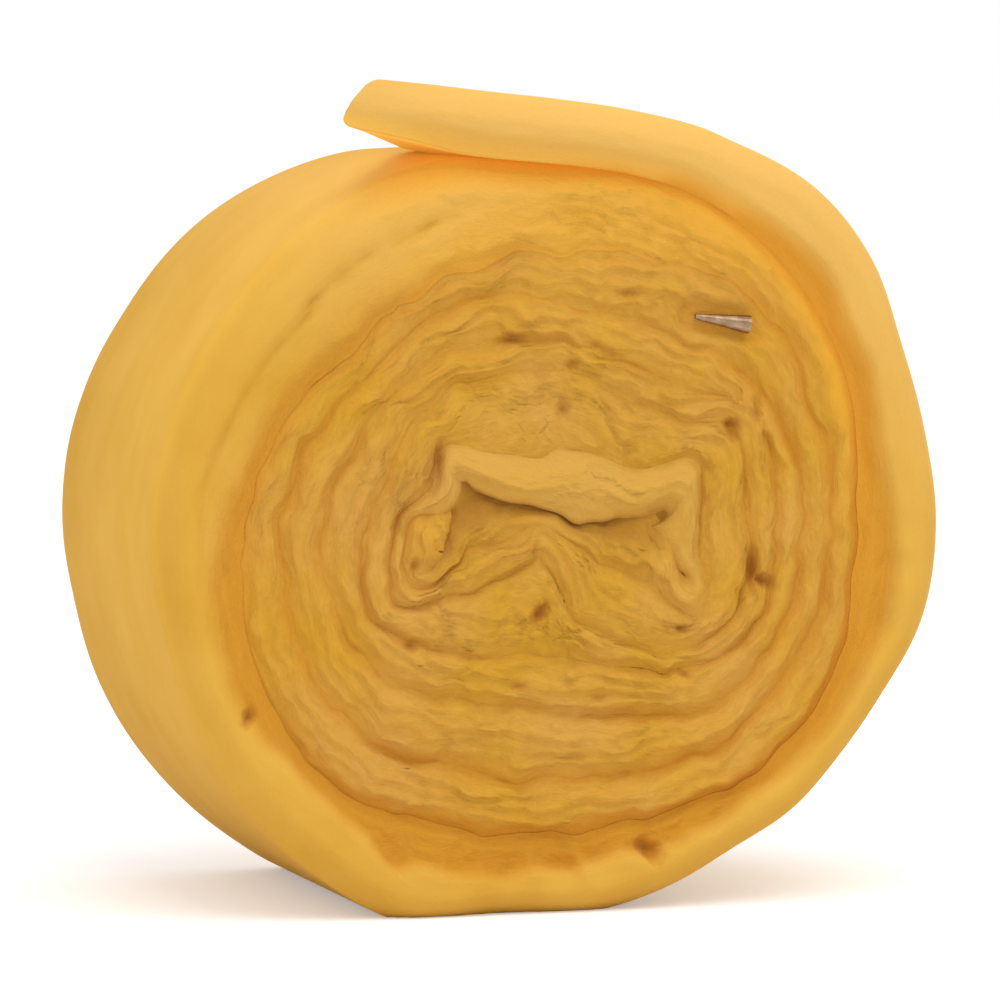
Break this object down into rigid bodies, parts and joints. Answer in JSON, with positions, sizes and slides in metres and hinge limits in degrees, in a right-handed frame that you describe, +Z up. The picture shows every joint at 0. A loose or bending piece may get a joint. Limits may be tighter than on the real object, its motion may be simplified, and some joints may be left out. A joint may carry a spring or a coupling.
{
  "type": "insulation roll",
  "caption": "Roll of soft yellow glass-wool pipe wrap on its side, a long strip wound on itself with a folded middle and a loose end lifting off the top.",
  "frame": {"origin": "on the floor under the middle of the roll's box", "axes": "Y along the winding axis with the near end at -Y, +Z up, +X to the right of somebody facing the near end"},
  "size_m": [0.2658, 0.157, 0.2768],
  "materials": {
    "glass_wool": "matt bonded glass fibre, soft and slightly translucent",
    "bright_metal": "thin bright metal, slightly warm"
  },
  "bodies": {
    "root": {"wound_batt": "glass_wool", "metal_tip": "bright_metal"}
  },
  "joints": []
}
